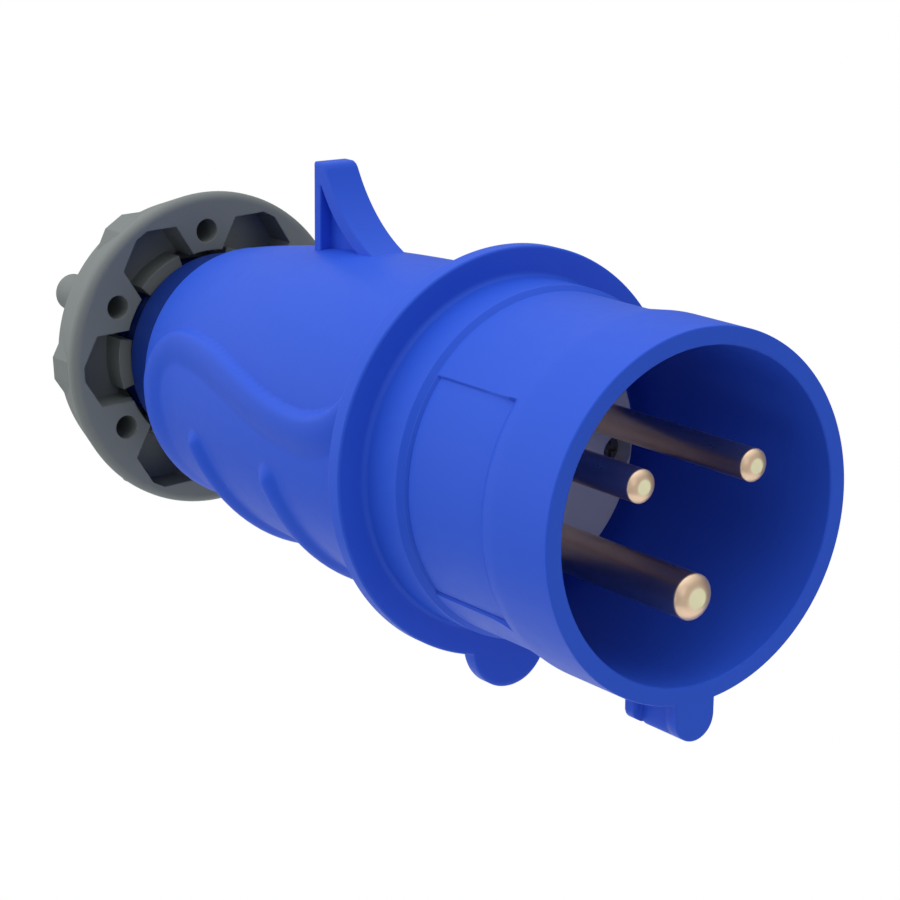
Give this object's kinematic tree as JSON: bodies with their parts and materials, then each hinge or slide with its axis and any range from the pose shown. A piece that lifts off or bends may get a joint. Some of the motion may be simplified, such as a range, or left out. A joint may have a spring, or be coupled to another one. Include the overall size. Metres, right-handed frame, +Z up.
{
  "type": "industrial pin and sleeve plug",
  "caption": "Blue round industrial plug: pins inside a keyed sleeve, flange, ribbed grip with a hook lug on top and a grey gland nut with hollow lobes behind.",
  "frame": {"origin": "centre of the sleeve's mouth plane, on the plug's axis", "axes": "+X the way the plug enters its socket, +Z up through the hook lug, so that the key and the earth pin are below"},
  "size_m": [0.153, 0.0646, 0.077],
  "materials": {
    "blue_shell": "satin moulded",
    "grey_nut": "satin moulded",
    "grey_insert": "matt moulded",
    "pin_brass": "turned",
    "screw_steel": "zinc plated",
    "seal_rubber": "matt",
    "cage_nylon": "matt moulded"
  },
  "bodies": {
    "housing": {"front_shroud": "blue_shell", "rear_handle": "blue_shell", "contact_carrier": "grey_insert", "pin_retainer": "grey_insert", "line_pin": "pin_brass", "neutral_pin": "pin_brass", "earth_pin": "pin_brass", "line_terminal_screw": "screw_steel", "neutral_terminal_screw": "screw_steel", "earth_terminal_screw": "screw_steel", "carrier_screw_left": "screw_steel", "carrier_screw_right": "screw_steel", "retainer_screw": "screw_steel", "housing_seal": "seal_rubber", "cable_grommet": "seal_rubber", "slip_ring": "cage_nylon"},
    "clamp": {"clamp_cage": "cage_nylon"},
    "nut": {"gland_nut": "grey_nut"}
  },
  "joints": [
    {"name": "gland_travel", "type": "slide", "parent": "housing", "child": "clamp", "axis": [-1, 0, 0], "range_m": [0, 0.0045]},
    {"name": "gland_turn", "type": "hinge", "parent": "clamp", "child": "nut", "pos_m": [-0.14, 0, 0], "axis": [-1, 0, 0], "range_deg": [0, 540]}
  ],
  "couplings": [
    {"joint": "gland_travel", "follows": "gland_turn", "m_per_rad": 0.000477}
  ]
}
